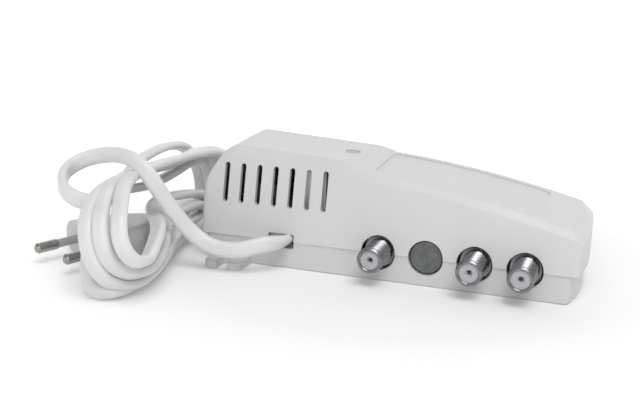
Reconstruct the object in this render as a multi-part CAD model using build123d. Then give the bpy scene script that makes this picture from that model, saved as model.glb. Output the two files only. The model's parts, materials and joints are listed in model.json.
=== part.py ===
from build123d import *
import math
import os

os.makedirs("parts", exist_ok=True)

# Indoor aerial amplifier with a mains cord. Millimetres.
# X runs along the connector wall, -Y is the connector wall, +Z is up.
# The origin is under the middle of the housing, on the surface it stands on.

# Housing
HALF_X = 71.2
HALF_Y = 24.0
END_BOW = 3.0
CORNER_R = 2.4
WALL = 2.0
FLOOR = 1.8
PARTING = 10.8
LEAN_FRONT = 0.20
LEAN_BACK = 0.06
TILT = 0.06
BEVEL = 2.1
PLATEAU_DROP = 2.3
PLATEAU_SLOPE = 0.5
# Lamp on the board and its window in the plateau, beside the step
LAMP_X = -24.2
LAMP_Y = 2.2
WINDOW_X = -18.9
WINDOW_Y = 2.2
WINDOW_R = 3.0
BASE_END_INSET = 1.3
BASE_FRONT_INSET = 0.4
BASE_DRAFT = 0.45

# Connector row
PITCH = 18.0
PORTS = (0.0, 2 * PITCH, 3 * PITCH)
KNOB_X = PITCH
AXIS_Z = PARTING
PORT_HOLE_R = 6.55
BARREL_R = 4.7625
BARREL_BORE_R = 3.5
BARREL_REACH = 11.0
KNOB_R = 6.2
KNOB_TURN = 135

# Ventilation slots
VENT_COUNT = 7
VENT_FIRST = -63.24
VENT_PITCH = 6.75
VENT_WIDTH = 2.1
VENT_LOW = 23.2
VENT_HIGH = 38.5

# Fixing lugs
LUG_X = 58.5
LUG_WIDTH = 15.0
LUG_THICK = 3.0
LUG_REACH = 11.0
LUG_SLOT = 4.4
LUG_SLOT_DEPTH = 7.0

# Fastening
POST_X = 65.5
POST_Y = 15.5
BOARD_LOW = 3.4
BOARD_TOP = 5.0
BOARD_SCREWS = ((-55.0, -17.3), (-40.0, 17.4), (27.0, -17.0), (56.0, 17.3))

# Mains cord and plug
CORD_R = 2.2
CORD_SIDES = 10
CORD_X = -36.0
PLUG_FACE = (-108.0, -45.5, 7.1)
PLUG_AXIS = (0.39, 0.92, 0.03)
PLUG_SIDE = (0.92, -0.39, 0.0)
PLUG_LENGTH = 34.0
PIN_SPACING = 19.0
PIN_R = 2.0
SLEEVE_R = 1.65


def block(x0, x1, y0, y1, z0, z1):
    """Box between two corners."""
    middle = Pos((x0 + x1) / 2, (y0 + y1) / 2, (z0 + z1) / 2)
    return middle * Box(x1 - x0, y1 - y0, z1 - z0)


def upright(x, y, z0, z1, r):
    """Cylinder along Z."""
    return Pos(x, y, (z0 + z1) / 2) * Cylinder(r, z1 - z0)


def along_y(x, z, y0, y1, r):
    """Cylinder along Y."""
    return Pos(x, (y0 + y1) / 2, z) * Rot(90, 0, 0) * Cylinder(r, y1 - y0)


def along_x(y, z, x0, x1, r):
    """Cylinder along X."""
    return Pos((x0 + x1) / 2, y, z) * Rot(0, 90, 0) * Cylinder(r, x1 - x0)


def solids_of(shape):
    """The separate solids of a shape, as a plain list."""
    if isinstance(shape, (list, tuple)):
        found = []
        for item in shape:
            found += solids_of(item)
        return found
    return list(shape.solids())


def save(name, shape):
    """Write one sub-part."""
    found = solids_of(shape)
    body = found[0] if len(found) == 1 else Compound(children=found)
    body.label = name
    export_step(body, "parts/" + name + ".step")
    return found


# Housing


def plan_outline(half_x, half_y, bow):
    """Plan of the housing: straight front and back, bowed ends."""
    front = Line((-half_x, -half_y), (half_x, -half_y))
    right = ThreePointArc((half_x, -half_y), (half_x + bow, 0), (half_x, half_y))
    back = Line((half_x, half_y), (-half_x, half_y))
    left = ThreePointArc((-half_x, half_y), (-half_x - bow, 0), (-half_x, -half_y))
    return make_face([front, right, back, left])


def corner_edges(shape, half_x):
    """The four upright corner edges of a wall block."""
    found = []
    for edge in shape.edges():
        middle = edge.center()
        size = edge.bounding_box().size
        if size.Z > 4 and abs(middle.X) > half_x - 4 and abs(middle.Y) > 12:
            found.append(edge)
    return found


def wall_block(inset, low):
    """Plan outline carried up, with the front and back walls leaning in."""
    plan = plan_outline(HALF_X - inset, HALF_Y + 8, END_BOW)
    tall = extrude(Pos(0, 0, low) * plan, 60)
    fy = -HALF_Y + inset
    by = HALF_Y - inset
    side = Polyline(
        (fy + LEAN_FRONT * (low - PARTING), low),
        (by - LEAN_BACK * (low - PARTING), low),
        (by - LEAN_BACK * (60 - PARTING), 60),
        (fy + LEAN_FRONT * (60 - PARTING), 60),
        close=True,
    )
    slab = extrude(Plane.YZ * make_face(side), 100, both=True)
    block_ = tall & slab
    radius = max(CORNER_R - inset, 0.8)
    return fillet(corner_edges(block_, HALF_X - inset), radius)


def tilted(profile):
    """Carry a profile of the top back along the slope of the top."""
    start = Pos(0, -HALF_Y - 8, -8 * TILT) * (Plane.XZ * profile)
    return extrude(start, amount=2 * HALF_Y + 16, dir=(0, 1, TILT))


def plateau_profile(drop, k=1.0, ref=0.0, foot=0.0, side=None):
    """Left part: a round end that runs into a flat top.

    The end draws in by the drop too, or by the side given."""
    side = drop if side is None else side
    x0 = -HALF_X - END_BOW + side
    shoulder = (16 - ref) * k
    left = Line((x0, foot), (x0, shoulder))
    end = EllipticalCenterArc((-61.2, shoulder), 13 - side, (27.7 - drop) * k, start_angle=90, arc_size=90)
    a = (43.7 - drop - ref) * k
    b = (41.4 - drop - ref) * k
    c = (40.2 - drop - ref) * k
    flat = Polyline((-61.2, a), (-19.5, b), (2, c), (2, foot), (x0, foot))
    return make_face([left, end, flat])


def plateau_bevel_profile(drop, k, ref, foot):
    """Plateau's profile lowered for the bevel, with its round end left in place."""
    return plateau_profile(drop, k, ref, foot, side=0.0)


def deck_profile(drop, k=1.0, ref=0.0, foot=0.0):
    """Right part: the deck that falls away in one long arc."""
    a = (40.4 - drop - ref) * k
    b = (39.0 - drop - ref) * k
    c = (33.9 - drop - ref) * k
    d = (23.0 - drop - ref) * k
    rise = Polyline((78, d), (78, foot), (-40, foot), (-40, a), (-15, b))
    arc = ThreePointArc((-15, b), (30, c), (78, d))
    return make_face([rise, arc])


def bevel_form(profile, drop, slope):
    """Room under the slanting bevels along the front and back edges.

    The profile lies on each leaning wall, a drop below the edge, and
    is carried inwards and up at the given slope."""
    k = math.hypot(1, LEAN_FRONT)
    front = Plane(origin=(0, -HALF_Y, PARTING), x_dir=(1, 0, 0), z_dir=(0, -1, LEAN_FRONT))
    face = Pos(0, -1.5, -1.5 * slope) * (front * profile(drop, k, PARTING, -120))
    first = extrude(face, amount=90, dir=(0, 1, slope))
    rise = TILT * (2 * HALF_Y - 1.8)
    k = math.hypot(1, LEAN_BACK)
    back = Plane(origin=(0, HALF_Y, PARTING), x_dir=(1, 0, 0), z_dir=(0, -1, -LEAN_BACK))
    face = Pos(0, 1.5, -1.5 * slope + rise) * (back * profile(drop, k, PARTING, -120))
    second = extrude(face, amount=90, dir=(0, -1, slope))
    return first & second


def end_bevel():
    """Cone that cuts the bevel along the top of the bowed right end."""
    bow_r = (HALF_Y**2 + END_BOW**2) / (2 * END_BOW)
    centre_x = HALF_X + END_BOW - bow_r
    crease = 22.3 + TILT * HALF_Y
    cone = Cone(bow_r + 40, bow_r - 40, 80)
    return Pos(centre_x, 0, crease) * Rot(math.degrees(math.atan(TILT)), 0, 0) * cone


def step_plane(inset):
    """The slanting face between plateau and deck."""
    top_front = Vector(-19.5, -19.0, 41.7)
    top_back = Vector(-12.5, 20.0, 43.7)
    foot = Vector(-15.1, -19.0, 39.35)
    normal = (foot - top_front).cross(top_back - top_front).normalized()
    if normal.Z < 0:
        normal = normal * -1
    return Plane(origin=top_front - normal * inset, z_dir=normal)


def plateau(inset, bevel):
    """Left part of the cover's outer or inner form."""
    body = tilted(plateau_profile(inset)) & wall_block(inset, PARTING - 4)
    if bevel:
        body = body & bevel_form(plateau_bevel_profile, PLATEAU_DROP, PLATEAU_SLOPE)
    kept = split(body, bisect_by=step_plane(inset), keep=Keep.BOTTOM)
    return kept


def deck(inset, bevel):
    """Right part of the cover's outer or inner form."""
    body = tilted(deck_profile(inset)) & wall_block(inset, PARTING - 4)
    if bevel:
        body = body & bevel_form(deck_profile, bevel, 1.0) & end_bevel()
    return body


def cover_form(inset, bevel):
    return deck(inset, bevel) + plateau(inset, bevel)


def lens_hole(r):
    return upright(WINDOW_X, WINDOW_Y, 30, 60, r)


def port_holes():
    """Round openings on the parting line, for connectors and knob."""
    found = []
    for x in PORTS + (KNOB_X,):
        found.append(along_y(x, AXIS_Z, -HALF_Y - 4, -HALF_Y + 5, PORT_HOLE_R))
    return found


def cord_notch():
    notch = block(-44, -33.4, -HALF_Y - 4, -HALF_Y + 5, 7.9, 13.7)
    return fillet(notch.edges().filter_by(Axis.Y), 0.8)


def vent_slots():
    """Row of upright slots through the leaning front wall."""
    found = []
    middle = (VENT_LOW + VENT_HIGH) / 2
    outline = SlotOverall(VENT_HIGH - VENT_LOW, VENT_WIDTH, rotation=90)
    for i in range(VENT_COUNT):
        x = VENT_FIRST + i * VENT_PITCH
        start = Pos(x, -HALF_Y - 2, middle) * (Plane.XZ * outline)
        found.append(extrude(start, amount=11, dir=(0, 1, 0)))
    return found


def label_field():
    """Shallow bare field sunk into the deck."""
    plan = Pos(25.5, 3.0) * RectangleRounded(63, 30, 3)
    column = extrude(plan, 60)
    return column - tilted(deck_profile(0.45))


def cover_posts():
    """Screw posts in the corners, tied to the walls by ribs."""
    found = []
    for sx in (-1, 1):
        for sy in (-1, 1):
            x = sx * POST_X
            y = sy * POST_Y
            post = upright(x, y, 6, 20, 3.25)
            end_rib = block(min(x, x + sx * 6.6), max(x, x + sx * 6.6), y - 0.75, y + 0.75, 12.4, 19)
            wall_rib = block(x - 0.75, x + 0.75, min(y, y + sy * 6.6), max(y, y + sy * 6.6), 12.4, 19)
            found.append(post + end_rib + wall_rib - upright(x, y, 5, 15, 1.47))
    return found


def cover_shell():
    """Upper half of the housing."""
    outer = cover_form(0, BEVEL)
    cavity = cover_form(WALL, 0)
    shell = outer - block(-90, 90, -50, 50, -10, PARTING)
    shell = shell - cavity
    shell = shell - vent_slots()
    shell = shell - port_holes() - cord_notch()
    shell = shell - label_field() - lens_hole(WINDOW_R)
    envelope = outer & cover_form(WALL - 0.6, 0)
    for post in cover_posts():
        shell = shell + (post & (envelope + block(-80, 80, -24, 24, 0, PARTING)))
    rib = block(-34.5, -23.5, -16.3, -14.6, 15.6, 60) & envelope
    shell = shell + rib
    return shell


def base_plan(inset, drop):
    """Plan of the base, a little smaller the lower it is."""
    return plan_outline(HALF_X - BASE_END_INSET - inset - drop, HALF_Y - BASE_FRONT_INSET - inset - drop, END_BOW)


def tapered_base(inset, z0, z1, radius):
    """Base form between two heights, with its draft."""
    d0 = BASE_DRAFT * (PARTING - z0) / PARTING
    d1 = BASE_DRAFT * (PARTING - z1) / PARTING
    low = Pos(0, 0, z0) * fillet(base_plan(inset, d0).vertices(), radius)
    high = Pos(0, 0, z1) * fillet(base_plan(inset, d1).vertices(), radius)
    return loft([low, high])


def base_foot():
    """Bevelled edge all round the underside."""
    low = fillet(base_plan(0.6, BASE_DRAFT).vertices(), CORNER_R)
    drop = BASE_DRAFT * (PARTING - 0.6) / PARTING
    high = Pos(0, 0, 0.6) * fillet(base_plan(0, drop).vertices(), CORNER_R)
    return loft([low, high])


def lug(sx, sy):
    """Flat ear with an open slot for a screw."""
    y0 = sy * (HALF_Y - 2.0)
    y1 = sy * (HALF_Y + LUG_REACH)
    ear = block(sx * LUG_X - LUG_WIDTH / 2, sx * LUG_X + LUG_WIDTH / 2, min(y0, y1), max(y0, y1), 0, LUG_THICK)
    outer = [e for e in ear.edges().filter_by(Axis.Z) if abs(e.center().Y) > HALF_Y + 5]
    ear = fillet(outer, 2.6)
    slot_end = sy * (HALF_Y + LUG_REACH - LUG_SLOT_DEPTH + LUG_SLOT / 2)
    slot_far = sy * (HALF_Y + LUG_REACH + 5)
    slot = block(sx * LUG_X - LUG_SLOT / 2, sx * LUG_X + LUG_SLOT / 2, min(slot_end, slot_far), max(slot_end, slot_far), -1, 5)
    return ear - slot - upright(sx * LUG_X, slot_end, -1, 5, LUG_SLOT / 2)


def tongue():
    """Locating rim that stands inside the cover."""
    outer = extrude(Pos(0, 0, 8.6) * fillet(base_plan(WALL, 0).vertices(), 1.2), 3.4)
    inner = extrude(Pos(0, 0, 8.0) * fillet(base_plan(WALL + 0.9, 0).vertices(), 0.8), 5)
    rim = outer - inner - block(-46.5, 62, -30, -15, 5, 15)
    for sx in (-1, 1):
        for sy in (-1, 1):
            rim = rim - upright(sx * POST_X, sy * POST_Y, 5, 15, 3.8)
            rim = rim - block(sx * 69 - 4, sx * 69 + 4, sy * POST_Y - 1.2, sy * POST_Y + 1.2, 5, 15)
            rim = rim - block(sx * POST_X - 1.2, sx * POST_X + 1.2, sy * 21 - 3, sy * 21 + 3, 5, 15)
    return rim


def base_shell():
    """Lower half of the housing."""
    shell = tapered_base(0, 0.6, PARTING, CORNER_R) + base_foot()
    shell = shell - tapered_base(WALL, FLOOR, PARTING + 2, 1.0)
    shell = shell + lug(-1, -1) + lug(1, 1)
    shell = shell + tongue()
    for sx in (-1, 1):
        for sy in (-1, 1):
            shell = shell + upright(sx * POST_X, sy * POST_Y, 0.5, 6, 4.25)
    for x, y in BOARD_SCREWS:
        shell = shell + upright(x, y, 1, BOARD_LOW, 2.6)
    shell = shell + block(-45, -27, -20.6, -16.4, 1, 10.4)
    for sx in (-1, 1):
        for sy in (-1, 1):
            shell = shell - upright(sx * POST_X, sy * POST_Y, -1, 3, 3.0)
            shell = shell - upright(sx * POST_X, sy * POST_Y, -1, 7, 1.6)
    for x, y in BOARD_SCREWS:
        shell = shell - upright(x, y, 0.9, 4, 1.0)
    for x in (-42.4, -29.6):
        shell = shell - upright(x, -18.5, 4.5, 11, 1.2)
    shell = shell - along_y(CORD_X, AXIS_Z, -23, -15, CORD_R + 0.05)
    shell = shell - port_holes() - cord_notch()
    return shell


def housing_screws():
    """Four screws that come up through the base into the cover posts."""
    found = []
    for sx in (-1, 1):
        for sy in (-1, 1):
            x = sx * POST_X
            y = sy * POST_Y
            head = upright(x, y, 0.7, 3.0, 2.75)
            cross = block(x - 1.5, x + 1.5, y - 0.35, y + 0.35, 0, 1.7)
            cross = cross + block(x - 0.35, x + 0.35, y - 1.5, y + 1.5, 0, 1.7)
            found.append(head + upright(x, y, 2.5, 13.5, 1.45) - cross)
    return found


# Circuit board and its parts


def circuit_board():
    board = block(-59, 60.6, -20.4, 20.4, BOARD_LOW, BOARD_TOP)
    board = board - block(-46, -26, -22, -15.6, 0, 9)
    for x, y in BOARD_SCREWS:
        board = board - upright(x, y, 0, 9, 1.35)
    return board


def board_screws():
    found = []
    for x, y in BOARD_SCREWS:
        head = upright(x, y, BOARD_TOP, BOARD_TOP + 1.7, 2.2)
        head = fillet(head.edges().group_by(Axis.Z)[-1], 0.6)
        slot = block(x - 2.4, x + 2.4, y - 0.3, y + 0.3, BOARD_TOP + 0.9, BOARD_TOP + 3)
        found.append(head + upright(x, y, 1.3, BOARD_TOP + 0.2, 0.97) - slot)
    return found


def connector_shell(x):
    """Threaded barrel on a square block, with two legs on the board."""
    barrel = along_y(x, AXIS_Z, -HALF_Y - BARREL_REACH, -20.0, BARREL_R)
    barrel = chamfer(barrel.edges().sort_by(Axis.Y)[0], 0.5)
    collar = along_y(x, AXIS_Z, -21.2, -20.6, 5.9)
    body = block(x - 6, x + 6, -20.7, -13.2, BOARD_TOP, 16.6)
    body = fillet(body.edges().filter_by(Axis.Y), 0.5)
    legs = block(x - 5.2, x - 4.2, -17.8, -16.8, 2.6, 6) + block(x + 4.2, x + 5.2, -17.8, -16.8, 2.6, 6)
    shell = barrel + collar + body + legs
    return shell - along_y(x, AXIS_Z, -HALF_Y - BARREL_REACH - 1, -13, BARREL_BORE_R)


def connector_insulator(x):
    """Plastic core with its lead-in hole."""
    core = along_y(x, AXIS_Z, -HALF_Y - BARREL_REACH + 0.6, -13.2, BARREL_BORE_R - 0.03)
    core = core - along_y(x, AXIS_Z, -50, 0, 0.8)
    core = core - along_y(x, AXIS_Z, -31.0, 0, 1.25)
    mouth = Pos(x, -HALF_Y - BARREL_REACH + 0.6 + 0.5, AXIS_Z) * Rot(90, 0, 0) * Cone(0.8, 1.5, 1.0)
    return core - mouth


def connector_contact(x):
    """Springy centre socket whose tail turns down into the board."""
    tube = along_y(x, AXIS_Z, -30.9, -11.2, 1.2)
    tube = tube - along_y(x, AXIS_Z, -31, -22, 0.55)
    tail = block(x - 0.45, x + 0.45, -12.1, -11.2, 2.6, AXIS_Z)
    return tube + tail


def cut_board_for_leads(board):
    """Lead holes of the larger parts."""
    for x in PORTS:
        board = board - upright(x - 4.7, -17.3, 0, 9, 0.85)
        board = board - upright(x + 4.7, -17.3, 0, 9, 0.85)
        board = board - upright(x, -11.65, 0, 9, 0.75)
    for x, y in POT_LEGS:
        board = board - upright(x, y, 0, 9, 0.7)
    for x, y in TRAFO_PINS:
        board = board - upright(x, y, 0, 9, 0.6)
    for x, y in SMALL_LEADS:
        board = board - upright(x, y, 0, 9, 0.6)
    for y in DIODE_ROWS:
        board = board - upright(-19.2, y, 0, 9, 0.5) - upright(-10.4, y, 0, 9, 0.5)
    return board


POT_LEGS = tuple((KNOB_X + dx, -16.5) for dx in (-4.5, 0.0, 4.5))
TRAFO_PINS = tuple((x, y) for x in (-58.0, -39.6) for y in (-7.5, -2.5, 2.5, 7.5))
DIODE_ROWS = (7.0, 10.4, 13.8, 17.2)
SMALL_LEADS = (
    (LAMP_X - 1.5, LAMP_Y),
    (LAMP_X + 1.5, LAMP_Y),
    (-17.5, -0.6),
    (-12.5, -0.6),
    (-17.54, -9.95),
    (-15.0, -9.95),
    (-12.46, -9.95),
)


def gain_potentiometer():
    """Level control behind the wall, with a round bearing for the knob."""
    body = block(KNOB_X - 6.2, KNOB_X + 6.2, -19.8, -13.25, BOARD_TOP, 17.0)
    body = fillet(body.edges().filter_by(Axis.Y), 0.8)
    for x, y in POT_LEGS:
        body = body + upright(x, y, 2.6, 6, 0.5)
    return body - along_y(KNOB_X, AXIS_Z, -25, -13.8, 3.05)


def gain_knob():
    """Disc with a stem, set back in its hole."""
    disc = along_y(KNOB_X, AXIS_Z, -HALF_Y + 1.5, -20.6, KNOB_R)
    disc = fillet(disc.edges().sort_by(Axis.Y)[0], 0.5)
    stem = along_y(KNOB_X, AXIS_Z, -21.0, -13.9, 3.0)
    slot = block(KNOB_X - 0.45, KNOB_X + 0.45, -23, -21.8, AXIS_Z - 3.2, AXIS_Z + 3.2)
    return disc + stem - slot


SHIELD = (-8.0, 59.5, -12.9, 14.0)


def shield_frame():
    """Tinned frame around the radio parts, soldered to the board."""
    x0, x1, y0, y1 = SHIELD
    wall = block(x0, x1, y0, y1, BOARD_TOP, 16.0) - block(x0 + 0.5, x1 - 0.5, y0 + 0.5, y1 - 0.5, 0, 20)
    wall = wall + block(26.6, 27.0, y0 + 0.4, y1 - 0.4, BOARD_TOP, 15.0)
    for x in PORTS:
        wall = wall - along_y(x, AXIS_Z, y0 - 1, y0 + 1, 2.2)
        wall = wall - block(x - 0.9, x + 0.9, y0 - 1, y0 + 1.9, 4, AXIS_Z)
    return wall


def shield_lid():
    """Lid pressed over the frame."""
    x0, x1, y0, y1 = SHIELD
    lid = block(x0 - 0.45, x1 + 0.45, y0 - 0.25, y1 + 0.45, 13.2, 16.4)
    lid = lid - block(x0 - 0.04, x1 + 0.04, y0 - 0.9, y1 + 0.04, 10, 16.0)
    holes = [upright(x, 4.0, 15, 18, 1.6) for x in (4.0, 15.0, 40.0, 50.0)]
    return lid - holes


def amplifier_chip():
    body = block(9.0, 14.0, -4.0, 2.2, BOARD_TOP + 0.15, BOARD_TOP + 1.75)
    body = chamfer(body.edges().group_by(Axis.Z)[-1], 0.25)
    for i in range(4):
        y = -2.85 + 1.27 * i
        body = body + block(7.8, 9.3, y - 0.2, y + 0.2, BOARD_TOP, BOARD_TOP + 0.6)
        body = body + block(13.7, 15.2, y - 0.2, y + 0.2, BOARD_TOP, BOARD_TOP + 0.6)
    return body


CORES = ((0.0, -3.5), (20.5, -3.5), (36.5, -3.0), (48.0, 4.0))


def ferrite_cores():
    """Two-hole ferrite cores of the matching and splitting transformers."""
    found = []
    for x, y in CORES:
        core = block(x - 3.5, x + 3.5, y - 2.5, y + 2.5, BOARD_TOP, BOARD_TOP + 4.2)
        core = fillet(core.edges().filter_by(Axis.Y), 1.6)
        for dx in (-1.7, 1.7):
            core = core - along_y(x + dx, BOARD_TOP + 2.1, y - 4, y + 4, 0.9)
        found.append(core)
    return found


def core_windings():
    """Wire turns through the holes of each ferrite core."""
    found = []
    for x, y in CORES:
        z = BOARD_TOP + 2.1
        turn = block(x - 2.1, x + 2.1, y - 3.3, y + 3.3, z - 0.4, z + 0.4)
        turn = turn - block(x - 1.3, x + 1.3, y - 2.6, y + 2.6, z - 1, z + 1)
        turn = turn + block(x - 2.1, x - 1.3, y - 3.3, y - 2.6, BOARD_TOP, z)
        turn = turn + block(x + 1.3, x + 2.1, y - 3.3, y - 2.6, BOARD_TOP, z)
        found.append(turn)
    return found


def chip_components():
    """Small surface parts of the radio side."""
    found = []
    places = ((4.5, 6.0), (8.0, 8.5), (13.0, 7.0), (18.0, 4.5), (22.0, 8.0), (31.0, 6.0), (35.0, 7.5), (41.5, -4.5), (43.0, 3.5), (54.0, -4.0))
    for x, y in places:
        found.append(block(x - 1.0, x + 1.0, y - 0.65, y + 0.65, BOARD_TOP, BOARD_TOP + 0.8))
    return found


# Mains side


TRAFO_X = (-57.0, -43.0)
TRAFO_Y = 14.0
TRAFO_Z = (5.0, 30.0)


def transformer_core():
    """Stack of laminations: two windows beside a middle leg."""
    x0, x1 = TRAFO_X
    z0, z1 = TRAFO_Z
    core = block(x0, x1, -TRAFO_Y, TRAFO_Y, z0, z1)
    for s in (-1, 1):
        core = core - block(x0 - 1, x1 + 1, min(s * 4.7, s * 9.4), max(s * 4.7, s * 9.4), z0 + 4.7, z1 - 4.7)
    return core


def transformer_bobbin():
    """Moulded former with flanges, and feet that carry the pins."""
    x0, x1 = TRAFO_X
    z0 = TRAFO_Z[0] + 4.7
    z1 = TRAFO_Z[1] - 4.7
    tube = block(x0 - 1, x1 + 1, -5.7, 5.7, z0 + 0.02, z1 - 0.02)
    low = block(x0 - 4.5, x1 + 4.5, -9.36, 9.36, z0 + 0.02, z0 + 1.2)
    high = block(x0 - 4.5, x1 + 4.5, -9.36, 9.36, z1 - 1.2, z1 - 0.02)
    bobbin = tube + low + high
    bobbin = bobbin + block(x0 - 4.5 + 2.2, x0 - 0.02, -9.0, 9.0, BOARD_TOP, z0 + 0.5)
    bobbin = bobbin + block(x1 + 0.02, x1 + 4.5, -9.0, 9.0, BOARD_TOP, z0 + 0.5)
    bobbin = bobbin - block(x0 - 0.02, x1 + 0.02, -4.72, 4.72, z0 - 1, z1 + 1)
    for x, y in TRAFO_PINS:
        bobbin = bobbin - upright(x, y, 4, 6.22, 0.47)
    return bobbin


def transformer_winding():
    """Copper turns under tape, between the flanges."""
    x0, x1 = TRAFO_X
    z0 = TRAFO_Z[0] + 5.95
    z1 = TRAFO_Z[1] - 5.95
    coil = block(x0 - 4.0, x1 + 4.0, -9.0, 9.0, z0, z1)
    coil = fillet(coil.edges().filter_by(Axis.Z), 2.0)
    return coil - block(x0 - 1.02, x1 + 1.02, -5.72, 5.72, z0 - 1, z1 + 1)


def transformer_pins():
    return [upright(x, y, 2.6, 6.2, 0.45) for x, y in TRAFO_PINS]


def fuse_tube():
    return along_y(-32.5, 9.2, -8.5, 10.5, 2.45) - along_y(-32.5, 9.2, -9, 11, 1.9)


def fuse_caps():
    found = []
    for s, y in ((-1, -9.0), (1, 11.0)):
        cap = along_y(-32.5, 9.2, min(y, y - s * 4.5), max(y, y - s * 4.5), 2.7)
        bore0 = y - s * 0.5
        bore1 = y - s * 5.0
        found.append(cap - along_y(-32.5, 9.2, min(bore0, bore1), max(bore0, bore1), 2.46))
    return found


def fuse_clips():
    """Two spring clips soldered to the board."""
    found = []
    for y in (-6.9, 8.9):
        clip = block(-36.0, -29.0, y - 1.5, y + 1.5, BOARD_TOP, 11.2)
        clip = clip - along_y(-32.5, 9.2, y - 3, y + 3, 2.72)
        clip = clip - block(-34.6, -30.4, y - 3, y + 3, 9.2, 14)
        found.append(clip)
    return found


def rectifier_diodes():
    found = []
    for y in DIODE_ROWS:
        body = along_x(y, 6.6, -17.4, -12.2, 1.35)
        leads = along_x(y, 6.6, -19.2, -10.4, 0.4)
        feet = upright(-19.2, y, 4.0, 6.6, 0.4) + upright(-10.4, y, 4.0, 6.6, 0.4)
        found.append(body + leads + feet)
    return found


def smoothing_capacitor():
    can = upright(-15.0, -0.6, BOARD_TOP + 0.1, 21.0, 5.0)
    can = fillet(can.edges().group_by(Axis.Z)[-1], 0.7)
    can = can - block(-18.5, -11.5, -0.75, -0.45, 20.6, 22)
    can = can - block(-15.15, -14.85, -4.1, 2.9, 20.6, 22)
    return can + upright(-17.5, -0.6, 3.0, 6, 0.35) + upright(-12.5, -0.6, 3.0, 6, 0.35)


def voltage_regulator():
    """Three-legged package against its heatsink."""
    body = block(-20.0, -10.0, -12.0, -7.6, 8.0, 17.0)
    body = chamfer(body.edges().filter_by(Axis.Z).sort_by(Axis.Y)[-2:], 0.8)
    for dx in (-2.54, 0, 2.54):
        body = body + block(-15.4 + dx, -14.6 + dx, -10.2, -9.7, 3.0, 8.5)
    tab = block(-20.0, -10.0, -12.0, -10.7, 17.0, 23.4) - along_y(-15.0, 20.2, -14, -8, 1.8)
    return body + tab


def heatsink():
    """U of bent aluminium sheet with a hole for the screw."""
    plate = block(-22.5, -9.5, -13.6, -12.0, BOARD_TOP, 25.0)
    left = block(-22.5, -21.0, -19.0, -12.1, BOARD_TOP, 25.0)
    right = block(-11.0, -9.5, -19.0, -12.1, BOARD_TOP, 25.0)
    sink = plate + left + right
    return sink - along_y(-15.0, 20.2, -20, -8, 1.55)


def heatsink_screw():
    head = along_y(-15.0, 20.2, -10.7, -8.7, 2.7)
    head = fillet(head.edges().sort_by(Axis.Y)[-1], 0.8)
    shank = along_y(-15.0, 20.2, -14.0, -10.0, 1.5)
    nut = Pos(-15.0, -14.8, 20.2) * Rot(90, 0, 0) * extrude(RegularPolygon(3.1, 6), 1.2, both=True)
    return head + shank + nut


def power_led():
    """Small lamp under the light guide."""
    dome = upright(LAMP_X, LAMP_Y, BOARD_TOP + 1.0, 8.6, 1.5) + Pos(LAMP_X, LAMP_Y, 8.6) * Sphere(1.5)
    collar = upright(LAMP_X, LAMP_Y, BOARD_TOP + 0.2, 6.4, 1.95)
    lamp = dome + collar
    for x in (LAMP_X - 1.5, LAMP_X + 1.5):
        lamp = lamp + block(x - 0.2, x + 0.2, LAMP_Y - 0.2, LAMP_Y + 0.2, 3.0, 6.2)
    return lamp


def indicator_lens():
    """Cranked light guide whose head fills the round window in the cover."""
    rod = upright(LAMP_X, LAMP_Y, 10.6, 37.0, 2.4)
    arm = block(LAMP_X, WINDOW_X, LAMP_Y - 2.4, LAMP_Y + 2.4, 34.0, 37.0)
    flange = upright(WINDOW_X, WINDOW_Y, 34.0, 38.6, 3.9)
    head = upright(WINDOW_X, WINDOW_Y, 37.0, 48, WINDOW_R - 0.05)
    cap = head & (tilted(plateau_profile(0.15)))
    return rod + arm + cap + flange


def cord_clamp():
    """Bar that holds the cord down on the base."""
    bar = block(-45, -27, -20.6, -16.5, 11.3, 15.4)
    bar = fillet(bar.edges().filter_by(Axis.Y).group_by(Axis.Z)[-1], 0.8)
    bar = bar - along_y(CORD_X, AXIS_Z, -23, -15, CORD_R + 0.05)
    for x in (-42.4, -29.6):
        bar = bar - upright(x, -18.5, 10, 17, 1.45)
    return bar


def clamp_screws():
    found = []
    for x in (-42.4, -29.6):
        head = upright(x, -18.5, 15.4, 15.4 + 1.6, 2.0)
        slot = block(x - 2.2, x + 2.2, -18.8, -18.2, 16.2, 18)
        found.append(head + upright(x, -18.5, 5.5, 15.6, 1.17) - slot)
    return found


def wire(points, r, bend):
    """Round wire along straight runs joined by arcs."""
    path = FilletPolyline(*points, radius=bend)
    section = Plane(origin=path @ 0, z_dir=path % 0) * Circle(r)
    return sweep(section, path=path)


def mains_wires():
    """The two insulated cores that leave the clamped cord."""
    upper = wire([(-36.0, -16.0, 12.0), (-36.0, -14.4, 12.0), (-25.0, -14.4, 12.0), (-25.0, -14.4, 5.0)], 0.8, 1.2)
    lower = wire([(-36.0, -16.0, 9.6), (-36.0, -14.4, 9.6), (-28.6, -14.4, 9.6), (-28.6, -14.4, 5.0)], 0.8, 1.2)
    return [upper, lower]


# Mains cord


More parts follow.
